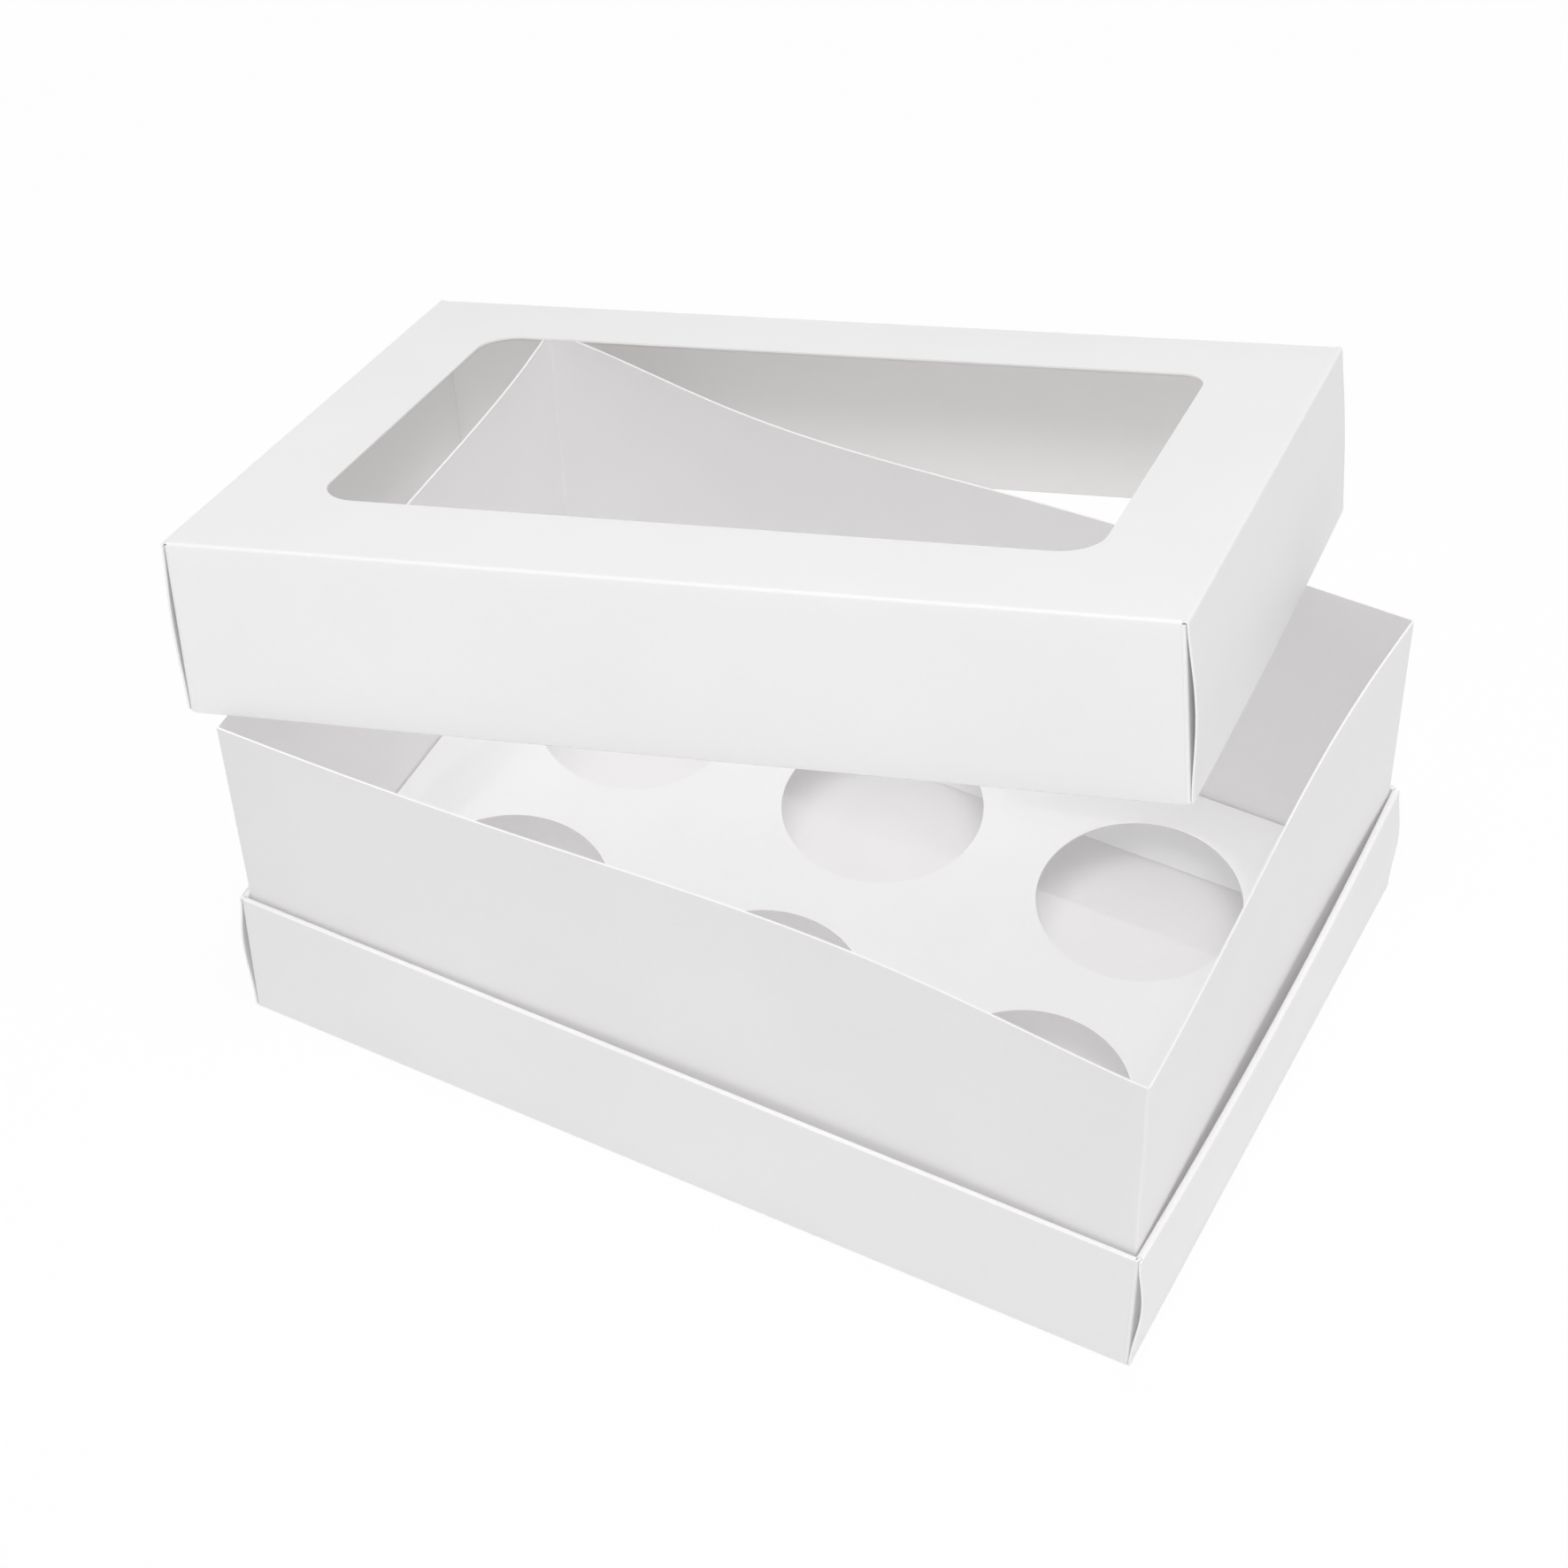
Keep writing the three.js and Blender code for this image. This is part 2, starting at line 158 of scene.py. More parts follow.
def distinct(points):
    kept = [points[0]]
    for p in points[1:]:
        if math.dist(p, kept[-1]) > 1e-6:
            kept.append(p)
    return np.array(kept, float)


def rounded(x0, x1, y0, y1, radii):
    """Rounded rectangle, radii from the corner at x1, y0 on, counter-clockwise."""
    points = []
    corners = ((x1, y0, -1, 1), (x1, y1, -1, -1), (x0, y1, 1, -1), (x0, y0, 1, 1))
    for i, ((x, y, sx, sy), r) in enumerate(zip(corners, radii)):
        points += arc(x + sx * r, y + sy * r, r, (i - 1) * QUARTER, i * QUARTER, WINDOW_STEPS)
    return points


def hump(share, peak, sharpness):
    """0 where share is 0 or 1, and 1 where it is peak."""
    skew = math.log(0.5) / math.log(peak)
    return np.maximum(0.0, np.sin(HALF * share ** skew)) ** sharpness


# Sheets: corners, faces and each face's finish
def sheet(path, rows, place, closed=False):
    """A sheet of card with its middle line on the path, repeated at each row."""
    points = distinct(path)
    count = len(points)
    before = points - np.roll(points, 1, axis=0)
    after = np.roll(points, -1, axis=0) - points
    if not closed:
        before[0] = after[0]
        after[-1] = before[-1]
    before /= np.linalg.norm(before, axis=1)[:, None]
    after /= np.linalg.norm(after, axis=1)[:, None]
    along = before + after
    along /= np.linalg.norm(along, axis=1)[:, None]
    miter = CARD / 2 / np.sum(along * before, axis=1)
    side = np.stack([-along[:, 1], along[:, 0]], 1) * miter[:, None]
    pair = np.stack([points + side, points - side], 1).reshape(-1, 2)
    corners = np.concatenate([place(pair[:, 0], pair[:, 1], np.full(len(pair), float(row)))
                              for row in rows])
    last = len(rows) - 1

    def at(row, i, s):
        return (row * count + i % count) * 2 + s

    faces, finishes = [], []
    for i in range(count if closed else count - 1):
        for row in range(last):
            faces.append((at(row, i, 0), at(row, i + 1, 0), at(row + 1, i + 1, 0), at(row + 1, i, 0)))
            faces.append((at(row, i, 1), at(row + 1, i, 1), at(row + 1, i + 1, 1), at(row, i + 1, 1)))
            finishes += [FACE, FACE]
        faces.append((at(0, i, 1), at(0, i + 1, 1), at(0, i + 1, 0), at(0, i, 0)))
        faces.append((at(last, i, 0), at(last, i + 1, 0), at(last, i + 1, 1), at(last, i, 1)))
        finishes += [CUT, CUT]
    if not closed:
        end = count - 1
        for row in range(last):
            faces.append((at(row, 0, 0), at(row + 1, 0, 0), at(row + 1, 0, 1), at(row, 0, 1)))
            faces.append((at(row, end, 1), at(row + 1, end, 1), at(row + 1, end, 0), at(row, end, 0)))
            finishes += [CUT, CUT]
    return corners, faces, finishes


def along_x(y, z, x):
    return np.stack([x, y, z], 1)


def along_y(x, z, y):
    return np.stack([x, y, z], 1)


def up_z(x, y, z):
    return np.stack([x, y, z], 1)


def retag(part, rule):
    """Gives each face that isn't a cut edge the finish that the rule names for its middle."""
    corners, faces, finishes = part
    middles = [corners[list(face)].mean(axis=0) for face in faces]
    return corners, faces, [CUT if f == CUT else rule(m) for f, m in zip(finishes, middles)]


def half_turn(part):
    corners, faces, finishes = part
    return corners * np.array([-1.0, -1.0, 1.0]), faces, finishes


def bent(part, *bends):
    corners, faces, finishes = part
    for bend in bends:
        corners = bend(corners)
    return corners, faces, finishes


# Objects
def make(name, parts):
    """One object of several sheets, with its faces turned outward."""
    corners, faces, finishes = [], [], []
    base = 0
    for part_corners, part_faces, part_finishes in parts:
        corners.append(part_corners)
        faces += [tuple(i + base for i in face) for face in part_faces]
        finishes += part_finishes
        base += len(part_corners)
    mesh = bpy.data.meshes.new(name)
    mesh.from_pydata((np.concatenate(corners) * MM).tolist(), [], faces)
    mesh.polygons.foreach_set("material_index", np.array(finishes, np.int32))
    mesh.update()
    obj = bpy.data.objects.new(name, mesh)
    bpy.context.scene.collection.objects.link(obj)
    bm = bmesh.new()
    bm.from_mesh(mesh)
    bmesh.ops.recalc_face_normals(bm, faces=bm.faces)
    bm.to_mesh(mesh)
    bm.free()
    return obj


def finish_shading(mesh):
    """Smooth across bends and sharp at cut edges."""
    bm = bmesh.new()
    bm.from_mesh(mesh)
    for face in bm.faces:
        face.smooth = True
    for edge in bm.edges:
        edge.smooth = len(edge.link_faces) == 2 and edge.calc_face_angle(0.0) < SHARP_ANGLE
    bm.to_mesh(mesh)
    bm.free()


def hold_all_finishes(obj):
    """Gives the object a slot for each finish, so that its faces keep theirs when meshes join."""
    while len(obj.data.materials) <= INNER:
        obj.data.materials.append(None)


def remove(obj):
    used = obj.data
    bpy.data.objects.remove(obj)
    bpy.data.meshes.remove(used)


def cut_by(obj, outlines, low, high):
    """Cuts prisms out of an object; the new walls are cut edges of the card."""
    parts = []
    for outline in outlines:
        n = len(outline)
        ring = [(x, y, low) for x, y in outline] + [(x, y, high) for x, y in outline]
        faces = [tuple(range(n)), tuple(range(2 * n - 1, n - 1, -1))]
        faces += [(i, (i + 1) % n, n + (i + 1) % n, n + i) for i in range(n)]
        parts.append((np.array(ring, float), faces, [CUT] * len(faces)))
    tool = make(obj.name + "_cutter", parts)
    hold_all_finishes(tool)
    hold_all_finishes(obj)
    mod = obj.modifiers.new("cut", "BOOLEAN")
    mod.operation = "DIFFERENCE"
    mod.solver = "EXACT"
    mod.object = tool
    bpy.context.view_layer.update()
    graph = bpy.context.evaluated_depsgraph_get()
    result = bpy.data.meshes.new_from_object(obj.evaluated_get(graph))
    old = obj.data
    obj.modifiers.clear()
    obj.data = result
    result.name = obj.name
    bpy.data.meshes.remove(old)
    remove(tool)


def joined(first, second):
    """Adds the second object's faces to the first."""
    hold_all_finishes(first)
    bm = bmesh.new()
    bm.from_mesh(first.data)
    bm.from_mesh(second.data)
    bm.to_mesh(first.data)
    bm.free()
    remove(second)
    return first


# Folded shell of tray and lid
def strip_path(half_y, hem_top):
    """Section through the panel and both long walls with their hems."""
    outer_y = half_y - CARD / 2
    inner_y = outer_y - CARD - HEM_GAP
    half = line((0, CARD / 2), (half_y - CREASE, CARD / 2), HALF_PANEL_STEPS)
    half += arc(half_y - CREASE, CREASE, FOLD_RADIUS, -QUARTER, 0, FOLD_STEPS)
    half += line((outer_y, CREASE), (outer_y, hem_top), WALL_STEPS)
    half += arc(half_y - LONG_WALL / 2, hem_top, (CARD + HEM_GAP) / 2, 0, HALF, LONG_RIM_STEPS)
    half += line((inner_y, hem_top), (inner_y, CARD + FOOT_GAP), HEM_STEPS)
    return with_mirror(half)


def end_panel_path(half_x, end_top, fold_x):
    """Section through an end wall's outer panel, from the shell's panel up."""
    path = line((fold_x, CARD / 2), (half_x - CREASE, CARD / 2))
    path += arc(half_x - CREASE, CREASE, FOLD_RADIUS, -QUARTER, 0, FOLD_STEPS)
    return path + line((half_x - CARD / 2, CREASE), (half_x - CARD / 2, end_top), BULGE_STEPS)


def end_hem_path(half_x, end_top):
    """Section through an end wall's rim and inner panel."""
    inner_x = half_x - END_WALL + CARD / 2
    path = arc(half_x - END_WALL / 2, end_top, (END_WALL - CARD) / 2, 0, HALF, END_RIM_STEPS)
    return path + line((inner_x, end_top), (inner_x, CARD + FOOT_GAP), WALL_STEPS)


def tab_path(tab_x, half_y):
    """Plan of the tab that turns the corner from a long wall into an end wall."""
    path = arc(tab_x - FOLD_RADIUS, -half_y + CREASE, FOLD_RADIUS, -QUARTER, 0, FOLD_STEPS)
    return path + line((tab_x, -half_y + CREASE), (tab_x, -half_y + TAB_LENGTH), WALL_STEPS)


def folded_shell(name, length, width, height, lean_front, lean_back, end_bow, end_bulge, bulge_at,
                 bulges, window=None):
    """Panel down, rim up. Long walls turn the corners as tabs inside the hemmed end walls."""
    half_x, half_y = length / 2, width / 2
    hem_top = height - LONG_WALL / 2
    end_top = height - END_WALL / 2
    bulge_top = end_top - BULGE_MARGIN
    tab_x = half_x - 1.5 * CARD - TAB_CLEARANCE
    fold_x = tab_x - FOLD_RADIUS

    def rise(points):
        return np.maximum(0.0, (points[:, 2] - CREASE) / (height - CREASE))

    def leaned(points):
        moved = points.copy()
        most = np.where(points[:, 1] < 0, lean_front, lean_back)
        moved[:, 1] -= (points[:, 1] / half_y) * most * rise(points)
        return moved

    def bowed(points):
        moved = points.copy()
        out = end_bow * (1 - (points[:, 1] / half_y) ** 2)
        moved[:, 0] += np.sign(points[:, 0]) * out * rise(points)
        return moved

    def bulged(points, front, back):
        moved = points.copy()
        share = np.clip((points[:, 2] - CREASE) / (bulge_top - CREASE), 0, 1)
        out = end_bulge * hump(share, (bulge_at - CREASE) / (bulge_top - CREASE), BULGE_SHARPNESS)
        along = np.clip((points[:, 1] + half_y) / (2 * half_y), 0, 1)
        moved[:, 0] += np.sign(points[:, 0]) * out * (front + (back - front) * along)
        return moved

    # Faces on the rim's fold arcs get the lighter fold finish, a painted highlight
    def strip_finish(middle):
        if middle[2] > hem_top:
            return FOLD_HIGHLIGHT
        inside = abs(middle[1]) < half_y - LONG_WALL + CARD + FACE_MARGIN
        return INNER if inside and middle[2] > CARD + FACE_MARGIN else FACE

    def hem_finish(middle):
        return FOLD_HIGHLIGHT if middle[2] > end_top else INNER

    rows = np.linspace(-fold_x, fold_x, STRIP_ROWS)
    strip = retag(sheet(strip_path(half_y, hem_top), rows, along_x), strip_finish)
    shell = make(name, [bent(strip, leaned)])
    if window is not None:
        cut_by(shell, [window], -WINDOW_CUT_BELOW, CARD + FACE_MARGIN)

    rows = np.linspace(-half_y + CUT_INSET, half_y - CUT_INSET, END_ROWS)
    panel = sheet(end_panel_path(half_x, end_top, fold_x), rows, along_y)
    ends = [bent(part, lambda points: bulged(points, *shares), bowed, leaned)
            for part, shares in zip((panel, half_turn(panel)), bulges)]
    inner_half = half_y - LONG_WALL - TAB_CLEARANCE
    rows = np.linspace(-inner_half, inner_half, END_ROWS)
    hem = retag(sheet(end_hem_path(half_x, end_top), rows, along_y), hem_finish)
    rows = np.linspace(CREASE, hem_top, TAB_ROWS)
    tab = tab_path(tab_x, half_y)
    other_tab = [(x, -y) for x, y in tab]
    for part in (hem, sheet(tab, rows, up_z), sheet(other_tab, rows, up_z)):
        ends += [bent(part, bowed, leaned), bent(half_turn(part), bowed, leaned)]
    return joined(shell, make(name + "_ends", ends))


# Collar
def collar_path():
    """Plan of the collar: each corner's fold, then the wall after it."""
    x, y = COLLAR_X - CREASE, COLLAR_Y - CREASE
    centres = ((x, -y), (x, y), (-x, y), (-x, -y))
    path = []
    for i, steps in enumerate((COLLAR_END_STEPS, COLLAR_LONG_STEPS) * 2):
        turn = i * QUARTER
        path += arc(*centres[i], FOLD_RADIUS, turn - QUARTER, turn, FOLD_STEPS)
        following = centres[(i + 1) % 4]
        goal = (following[0] + FOLD_RADIUS * math.cos(turn), following[1] + FOLD_RADIUS * math.sin(turn))
        path += line(path[-1], goal, steps)[1:-1]
    return path


def dip(place, half, bow):
    """How far a wall's top edge leans in at a place along it."""
    depth, at, sharpness = bow
    share = np.clip((half + place * math.copysign(1, at)) / (2 * half), 0, 1)
    return depth * hump(share, (half + abs(at)) / (2 * half), sharpness)


def collar_leaned(points):
    start = INSERT_TOP + BOW_START
    rise = np.maximum(0.0, (points[:, 2] - start) / (COLLAR_TOP - start)) ** BOW_RISE
    x, y = points[:, 0], points[:, 1]
    on_long = (np.abs(y) > COLLAR_Y - 1.5 * CARD) & (np.abs(x) < COLLAR_X - CREASE / 2)
    on_end = ~on_long & (np.abs(x) > COLLAR_X - 1.5 * CARD) & (np.abs(y) < COLLAR_Y - CREASE / 2)
    shift_y = np.where(y < 0, dip(x, COLLAR_X, FRONT_BOW), -dip(x, COLLAR_X, BACK_BOW)) * rise
    shift_x = np.where(x < 0, dip(y, COLLAR_Y, LEFT_BOW), -dip(y, COLLAR_Y, RIGHT_BOW)) * rise
    moved = points.copy()
    moved[:, 1] += np.where(on_long, shift_y, 0.0)
    moved[:, 0] += np.where(on_end, shift_x, 0.0)
    return moved


# Insert
def insert_parts():
    """The platform with its flaps, and at each short end the strip beyond the flaps' ends."""
    half_x = COLLAR_X - CARD - INSERT_CLEARANCE
    half_y = COLLAR_Y - CARD - INSERT_CLEARANCE
    z = INSERT_TOP - CARD / 2
    floor_z = CARD + REST_GAP
    slope = math.asin((z - floor_z - CARD / 2) / FLAP_LENGTH)
    fold_y = half_y - CREASE
    half = arc(fold_y, z - FOLD_RADIUS, FOLD_RADIUS, QUARTER, QUARTER - (HALF - slope), FLAP_FOLD_STEPS)
    end_y, end_z = half[-1]
    heel_z = floor_z + (CARD / 2) * math.cos(slope)
    half.append((end_y - (end_z - heel_z) / math.tan(slope), heel_z))
    plate_y = fold_y - CREASE
    flap_x = half_x - FLAP_END_CUT
    parts = [sheet(with_mirror(half), [-flap_x, 0.0, flap_x], along_x)]
    for rows in ((-half_x, -flap_x), (flap_x, half_x)):
        parts.append(sheet([(-plate_y, z), (plate_y, z)], rows, along_x))
    return parts


def hole_rings():
    rings = []
    for i in range(HOLES[0]):
        for j in range(HOLES[1]):
            cx = HOLE_SHIFT[0] + (i - (HOLES[0] - 1) / 2) * HOLE_PITCH[0]
            cy = HOLE_SHIFT[1] + (j - (HOLES[1] - 1) / 2) * HOLE_PITCH[1]
            rings.append(arc(cx, cy, HOLE_RADIUS, 0, FULL, HOLE_STEPS)[:-1])
    return rings


# Lid
def lid_window():
    """The window's outline in the lid as it is folded, upside down."""
    half_x, half_y = LID["length"] / 2, LID["width"] / 2
    left, right = -half_x + WINDOW_MARGINS["left"], half_x - WINDOW_MARGINS["right"]
    front, back = -half_y + WINDOW_MARGINS["front"], half_y - WINDOW_MARGINS["back"]
    return rounded(left, right, -back, -front, WINDOW_RADII)


def lid_matrix():
    """The lid's place: its front wall touches the collar's left wall, its right wall touches the
    collar's back wall, and its panel touches the collar's back left corner."""
    on_left = Vector((-COLLAR_X + CARD / 2, -COLLAR_Y + FRONT_CROSSING, COLLAR_TOP))
    on_back = Vector((COLLAR_X - BACK_CROSSING, COLLAR_Y - CARD / 2, COLLAR_TOP))
    on_corner = Vector((-COLLAR_X, COLLAR_Y, COLLAR_TOP))
    across_line = (on_back - on_left).normalized()
    reach = on_corner - on_left
    reach -= reach.dot(across_line) * across_line
    tilt = math.asin((LID["height"] - CARD) / reach.length)
    up = reach.normalized() * math.sin(tilt)
    up.z += math.cos(tilt)
    side = up.cross(across_line)
    lid_x = across_line * math.cos(LID_TURN) + side * math.sin(LID_TURN)
    lid_y = up.cross(lid_x)
    seat = (lid_x * (on_back.dot(lid_x) - (LID["length"] - END_WALL) / 2)
            + lid_y * (on_left.dot(lid_y) + (LID["width"] - LONG_WALL) / 2)
            + up * (on_left.dot(up) + TOUCH_GAP))
    pose = Matrix((lid_x, lid_y, up)).transposed().to_4x4()
    pose.translation = seat * MM
    return pose


tray = folded_shell("tray_folded", **TRAY)

collar_sheet = sheet(collar_path(), np.linspace(CARD, COLLAR_TOP, COLLAR_ROWS), up_z, closed=True)
collar = make("collar_folded", [bent(collar_sheet, collar_leaned)])

insert = make("insert_folded", insert_parts())
cut_by(insert, hole_rings(), INSERT_TOP - HOLE_CUT_BELOW, INSERT_TOP + HOLE_CUT_ABOVE)

lid = folded_shell("lid_folded", **LID, window=lid_window())
turn_over = Matrix.Translation((0, 0, LID["height"] * MM)) @ Matrix.Rotation(HALF, 4, "X")
lid.data.transform(lid_matrix() @ turn_over)

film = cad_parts["window_film"]

for piece in (tray, collar, insert, lid):
    finish_shading(piece.data)


# Nodes
def put(node, values):
    for name, value in values.items():
        node.inputs[name].default_value = value


def new_material(name):
    material = bpy.data.materials.new(name)
    material.use_nodes = True
    tree = material.node_tree
    tree.nodes.clear()
    out = tree.nodes.new("ShaderNodeOutputMaterial")
    shader = tree.nodes.new("ShaderNodeBsdfPrincipled")
    tree.links.new(shader.outputs["BSDF"], out.inputs["Surface"])
    return material, tree, shader


def place_on_object(tree):
    return tree.nodes.new("ShaderNodeTexCoord").outputs["Object"]


def noise(tree, coords, scale, detail, roughness):
    node = tree.nodes.new("ShaderNodeTexNoise")
    put(node, {"Scale": scale, "Detail": detail, "Roughness": roughness})
    tree.links.new(coords, node.inputs["Vector"])
    return node.outputs["Fac"]


def ramp(tree, factor, stops):
    node = tree.nodes.new("ShaderNodeValToRGB")
    while len(node.color_ramp.elements) < len(stops):
        node.color_ramp.elements.new(0.5)
    for element, (place, colour) in zip(node.color_ramp.elements, stops):
        element.position = place
        element.color = (*colour, 1.0)
    tree.links.new(factor, node.inputs["Fac"])
    return node.outputs["Color"]


def spread(tree, factor, low, high, start=0.25, stop=0.75):
    """Takes the factor's range from start to stop over to low to high."""
    node = tree.nodes.new("ShaderNodeMapRange")
    put(node, {"From Min": start, "From Max": stop, "To Min": low, "To Max": high})
    tree.links.new(factor, node.inputs["Value"])
    return node.outputs["Result"]


def relief(tree, height, strength, distance, normal=None):
    node = tree.nodes.new("ShaderNodeBump")
    put(node, {"Strength": strength, "Distance": distance})
    tree.links.new(height, node.inputs["Height"])
    if normal is not None:
        tree.links.new(normal, node.inputs["Normal"])
    return node.outputs["Normal"]


def reckon(tree, operation, *values):
    """A Math node. Each value is a number or another node's output."""
    node = tree.nodes.new("ShaderNodeMath")
    node.operation = operation
    for socket, value in zip(node.inputs, values):
        if isinstance(value, float):
            socket.default_value = value
        else:
            tree.links.new(value, socket)
    return node.outputs[0]


def mixed(tree, factor, first, second):
    node = tree.nodes.new("ShaderNodeMixShader")
    tree.links.new(factor, node.inputs["Fac"])
    tree.links.new(first, node.inputs[1])
    tree.links.new(second, node.inputs[2])
    return node.outputs[0]


# Materials
FIBRE_SHARE = 0.35  # of the board's mottle; the rest is cloud


def board(name, light, dark, rough):
    """Coated folding board: faint cloudy tone, fine fibre mottle in tone, gloss and relief."""
    material, tree, shader = new_material(name)
    coords = place_on_object(tree)
    cloud = noise(tree, coords, scale=22.0, detail=2.0, roughness=0.5)
    fibre = noise(tree, coords, scale=900.0, detail=3.0, roughness=0.6)
    swell = noise(tree, coords, scale=14.0, detail=1.0, roughness=0.4)
    cloud_part = reckon(tree, "MULTIPLY", cloud, 1.0 - FIBRE_SHARE)
    tone = reckon(tree, "MULTIPLY_ADD", fibre, FIBRE_SHARE, cloud_part)
    tree.links.new(ramp(tree, tone, [(0.32, dark), (0.68, light)]), shader.inputs["Base Color"])
    tree.links.new(spread(tree, fibre, rough - 0.05, rough + 0.06), shader.inputs["Roughness"])
    put(shader, {"Specular IOR Level": 0.25, "IOR": 1.45})
    grain = relief(tree, fibre, strength=0.12, distance=0.00008)
    wavy = relief(tree, swell, strength=0.25, distance=0.0004, normal=grain)
    tree.links.new(wavy, shader.inputs["Normal"])
    return material


def cut_edge(name, light, dark):
    """The board's cut edge: bare fibre in layers."""
    material, tree, shader = new_material(name)
    fibre = noise(tree, place_on_object(tree), scale=2400.0, detail=4.0, roughness=0.7)
    tree.links.new(ramp(tree, fibre, [(0.35, dark), (0.65, light)]), shader.inputs["Base Color"])
    tree.links.new(spread(tree, fibre, 0.8, 0.95), shader.inputs["Roughness"])
    put(shader, {"Specular IOR Level": 0.2})
    tree.links.new(relief(tree, fibre, strength=0.4, distance=0.0001), shader.inputs["Normal"])
    return material


def clear_film():
    """Thin clear film: lets the light through, with a faint gloss that wavers a little."""
    material, tree, shader = new_material("clear_film_sheet")
    wave = noise(tree, place_on_object(tree), scale=9.0, detail=1.0, roughness=0.4)
    tree.links.new(ramp(tree, wave, [(0.3, (0.97, 0.97, 0.97)), (0.7, (1.0, 1.0, 1.0))]),
                   shader.inputs["Base Color"])
    tree.links.new(spread(tree, wave, 0.05, 0.12), shader.inputs["Roughness"])
    put(shader, {"Alpha": 0.06, "IOR": 1.4})
    tree.links.new(relief(tree, wave, strength=0.2, distance=0.0006), shader.inputs["Normal"])
    return material


def dress(piece, node, slot_name, *materials):
    """Fills the slots in place, in the order of the finishes, and hands the piece to the frame."""
    held = piece.data.materials
    for i, material in enumerate(materials):
        if i < len(held):
            held[i] = material
        else:
            held.append(material)
    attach(piece, "root")
    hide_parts(node)


tray_board = board("tray_board", (0.800, 0.792, 0.796), (0.775, 0.766, 0.771), 0.50)
collar_board = board("collar_board", (0.790, 0.780, 0.786), (0.765, 0.755, 0.761), 0.55)
insert_board = board("insert_board", (0.825, 0.822, 0.822), (0.802, 0.798, 0.798), 0.50)
lid_board = board("lid_board", (0.860, 0.858, 0.858), (0.838, 0.836, 0.836), 0.50)
# Fold arcs at the rims, lighter than the board: painted highlight along the folds
tray_fold_highlight = board("tray_fold_highlight", (0.920, 0.915, 0.918), (0.885, 0.878, 0.882), 0.45)
lid_fold_highlight = board("lid_fold_highlight", (0.900, 0.898, 0.898), (0.875, 0.872, 0.872), 0.40)
tray_inner = board("tray_inner_board", (0.800, 0.792, 0.796), (0.775, 0.766, 0.771), 0.55)
# Inner panels of the lid: warmer in tone, and lighter than its outside board as painted light on its shaded
# inside
lid_inner_painted_light = board("lid_inner_board", (0.900, 0.880, 0.878), (0.878, 0.856, 0.853), 0.60)
# Cut rims of bare fibre, lighter than the board as a painted highlight along the rims
cut_edge_painted_highlight = cut_edge("bright_cut_edge", (0.91, 0.90, 0.895), (0.86, 0.85, 0.845))
warm_cut = cut_edge("warm_cut_edge", (0.80, 0.765, 0.73), (0.71, 0.67, 0.63))

dress(tray, "base_tray", "tray_card", tray_board, cut_edge_painted_highlight, tray_fold_highlight, tray_inner)
dress(collar, "collar", "collar_card", collar_board, cut_edge_painted_highlight)
dress(insert, "cupcake_insert", "insert_card", insert_board, warm_cut)
dress(lid, "lid", "lid_card", lid_board, cut_edge_painted_highlight, lid_fold_highlight, lid_inner_painted_light)

if not film.data.materials:
    film.data.materials.append(None)
film_material = clear_film()
for index in range(len(film.data.materials)):
    film.data.materials[index] = film_material

# Floor, white to the camera but for a share that keeps the shadow near the object
FLOOR_HALF = 6.0
FLOOR_Z = -0.0002
NEAR, WHITE_NEAR = 0.35, 0.90
FAR, WHITE_FAR = 1.2, 1.0


def white_to_camera(tree, surface):
    """Adds plain white for camera, glossy and transmission rays, all of it far from the object.
    What is left of the surface keeps the shadow."""
    distance = tree.nodes.new("ShaderNodeVectorMath")
    distance.operation = "LENGTH"
    tree.links.new(place_on_object(tree), distance.inputs[0])
    share = spread(tree, distance.outputs["Value"], WHITE_NEAR, WHITE_FAR, start=NEAR, stop=FAR)
    ray = tree.nodes.new("ShaderNodeLightPath").outputs
    seen = reckon(tree, "MAXIMUM", ray["Is Camera Ray"], ray["Is Glossy Ray"])
    seen = reckon(tree, "MAXIMUM", seen, ray["Is Transmission Ray"])
    white = tree.nodes.new("ShaderNodeEmission")
    put(white, {"Color": (1.0, 1.0, 1.0, 1.0), "Strength": 1.0})
    return mixed(tree, reckon(tree, "MULTIPLY", seen, share), surface, white.outputs[0])


def white_floor():
    material, tree, shader = new_material("white_floor")
    patches = noise(tree, place_on_object(tree), scale=3.0, detail=1.0, roughness=0.5)
    tree.links.new(ramp(tree, patches, [(0.3, (0.90, 0.90, 0.90)), (0.7, (0.91, 0.91, 0.91))]),
                   shader.inputs["Base Color"])
    put(shader, {"Roughness": 0.9, "Specular IOR Level": 0.0})
    surface = white_to_camera(tree, shader.outputs[0])
    tree.links.new(surface, tree.nodes["Material Output"].inputs["Surface"])
    return material


floor_mesh = bpy.data.meshes.new("floor")
floor_corners = [(x * FLOOR_HALF, y * FLOOR_HALF, FLOOR_Z) for x, y in ((-1, -1), (1, -1), (1, 1), (-1, 1))]
floor_mesh.from_pydata(floor_corners, [], [(0, 1, 2, 3)])
floor_mesh.materials.append(white_floor())
floor = bpy.data.objects.new("floor", floor_mesh)
bpy.context.scene.collection.objects.link(floor)


# World, white behind the object
SKY_STRENGTH = 0.4


def background(tree, strength):
    node = tree.nodes.new("ShaderNodeBackground")
    put(node, {"Color": (1.0, 1.0, 1.0, 1.0), "Strength": strength})
    return node.outputs[0]


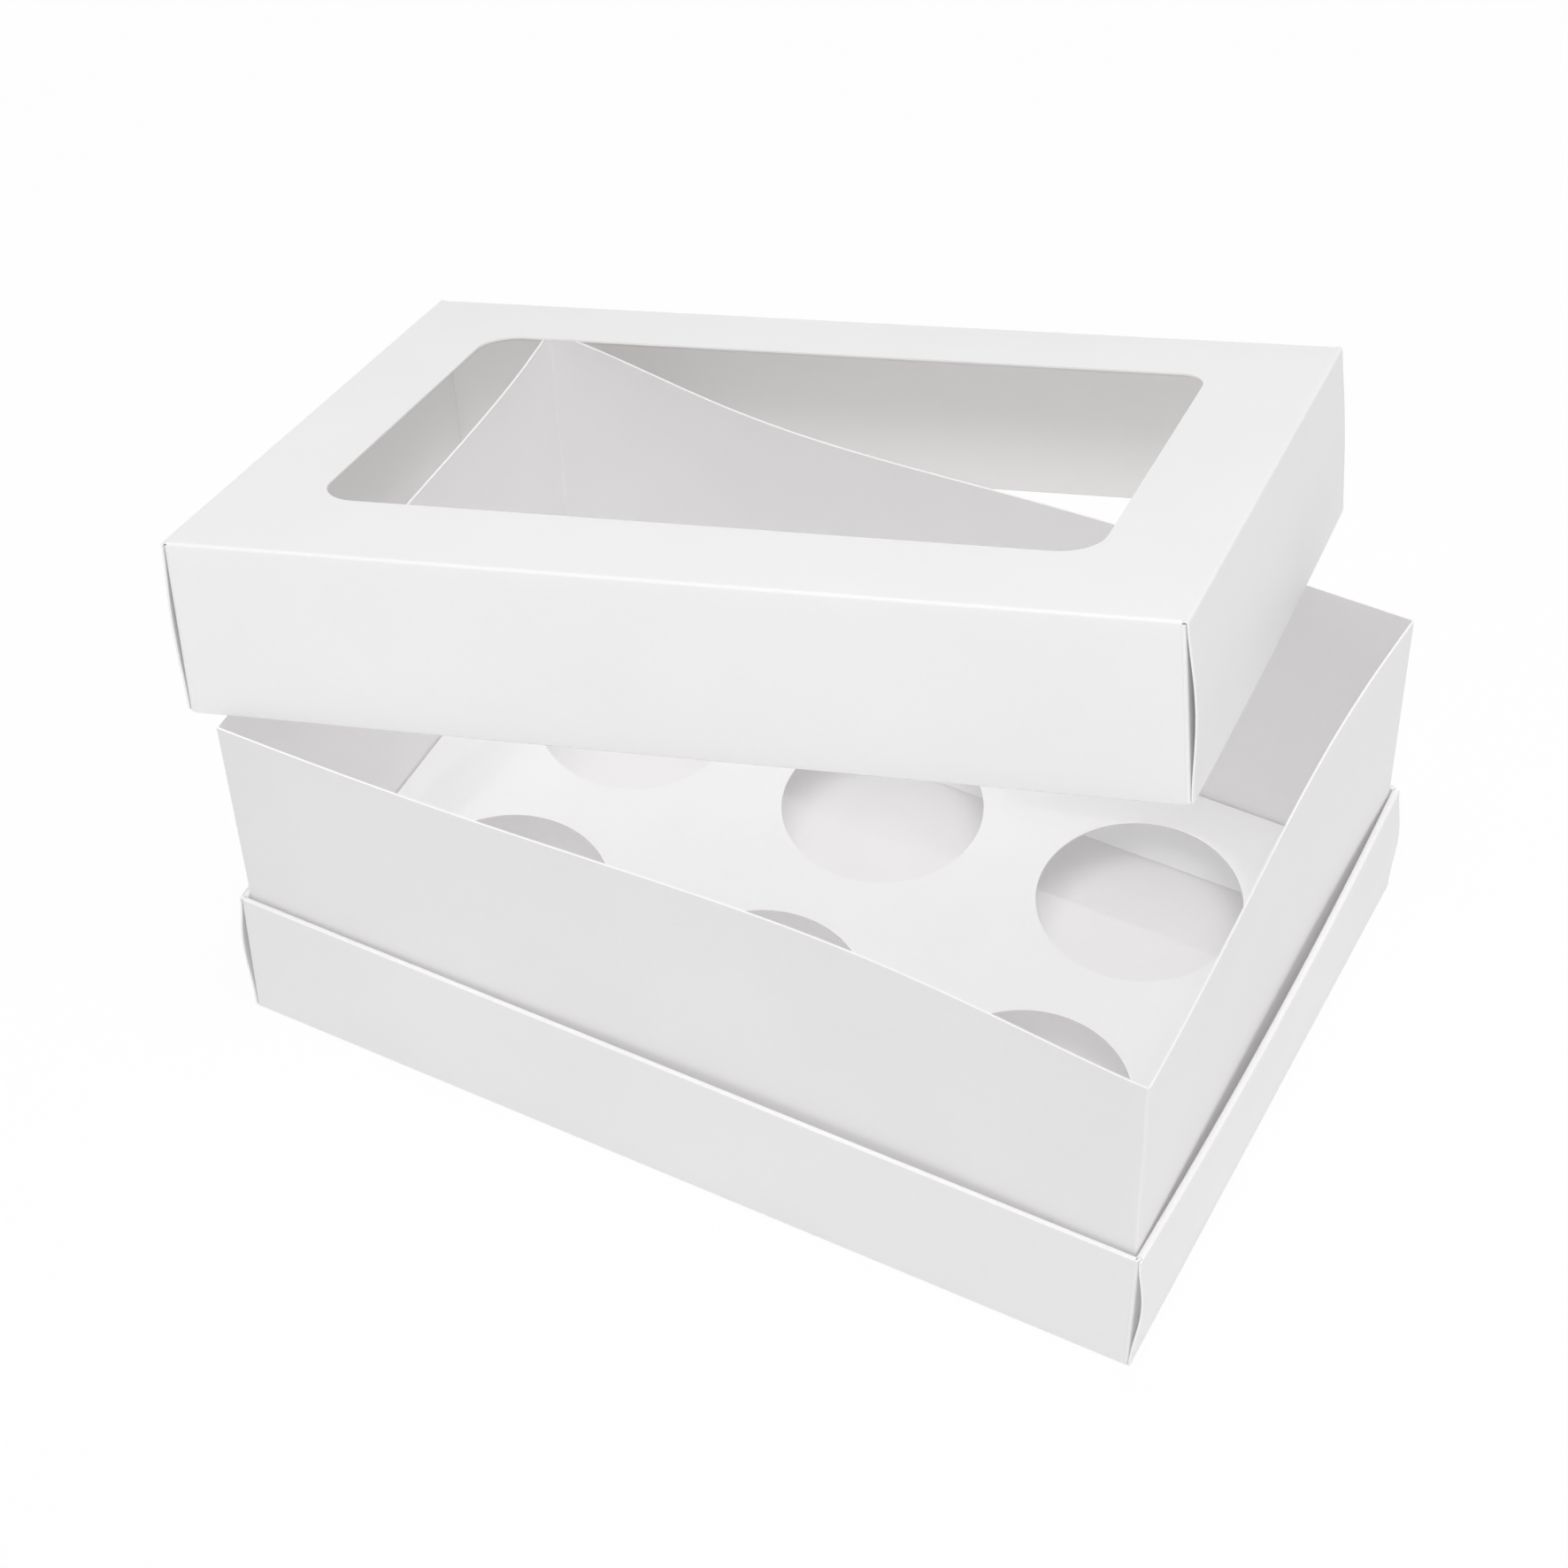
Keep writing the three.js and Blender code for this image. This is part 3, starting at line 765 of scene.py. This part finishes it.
world = bpy.context.scene.world or bpy.data.worlds.new("studio")
bpy.context.scene.world = world
world.use_nodes = True
world_tree = world.node_tree
world_tree.nodes.clear()
camera_ray = world_tree.nodes.new("ShaderNodeLightPath").outputs["Is Camera Ray"]
sky = background(world_tree, SKY_STRENGTH)
white = background(world_tree, 1.0)
world_light = mixed(world_tree, camera_ray, sky, white)
world_out = world_tree.nodes.new("ShaderNodeOutputWorld")
world_tree.links.new(world_light, world_out.inputs["Surface"])


# Lamps
def gathered(name, members):
    group = bpy.data.collections.new(name)
    for member in members:
        group.objects.link(member)
    return group


def lamp(name, place, aim, size, watts, on, shade):
    """A soft lamp. It lights the objects in on, and only those in shade cast its shadows."""
    data = bpy.data.lights.new(name, "AREA")
    data.shape = "RECTANGLE"
    data.size, data.size_y = size
    data.energy = watts
    data.use_shadow = bool(shade)
    obj = bpy.data.objects.new(name, data)
    obj.location = place
    obj.rotation_euler = (Vector(aim) - Vector(place)).to_track_quat("-Z", "Y").to_euler()
    bpy.context.scene.collection.objects.link(obj)
    obj.light_linking.receiver_collection = gathered(name + "_on", on)
    if shade:
        obj.light_linking.blocker_collection = gathered(name + "_shade", shade)


box_parts = (tray, collar, insert)
box_and_floor = (*box_parts, floor)
lid_parts = (lid, film)
ahead = dict(place=(-0.1, -2.0, 0.4), aim=(0, 0, 0.08), size=(1.5, 1.0))
aside = dict(place=(2.0, -0.1, 0.4), aim=(0, 0, 0.08), size=(1.5, 1.0))
above = dict(place=(0.0, 0.0, 2.0), aim=(0, 0, 0), size=(1.5, 1.5))

lamp("box_above", **above, watts=12.0, on=box_and_floor, shade=box_parts)
lamp("box_above_fill", **above, watts=12.5, on=box_and_floor, shade=())
lamp("box_ahead", **ahead, watts=11.0, on=box_and_floor, shade=())
lamp("box_aside", **aside, watts=5.5, on=box_and_floor, shade=(tray,))
lamp("box_aside_fill", **aside, watts=7.0, on=box_and_floor, shade=())
lamp("lid_above", **above, watts=28.0, on=lid_parts, shade=(lid,))
lamp("lid_ahead", **ahead, watts=3.0, on=lid_parts, shade=(lid,))
lamp("lid_ahead_fill", **ahead, watts=6.5, on=lid_parts, shade=())
lamp("lid_aside", **aside, watts=4.5, on=lid_parts, shade=(lid,))
lamp("lid_aside_fill", **aside, watts=3.5, on=lid_parts, shade=())

# Camera, solved from the photo
CAMERA_PLACE = (0.28198, -0.52512, 0.72343)
CAMERA_TURN = (41.9926, 1.4231, 27.5544)
LENS = 84.5825

camera_data = bpy.data.cameras.new("camera")
camera_data.sensor_fit = "HORIZONTAL"
camera_data.sensor_width = 36.0
camera_data.lens = LENS
camera_data.clip_start = 0.02
camera_data.clip_end = 50.0
camera = bpy.data.objects.new("camera", camera_data)
camera.location = CAMERA_PLACE
camera.rotation_euler = Euler([math.radians(angle) for angle in CAMERA_TURN], "XYZ")
bpy.context.scene.collection.objects.link(camera)
bpy.context.scene.camera = camera
bpy.context.scene.view_settings.view_transform = "Standard"
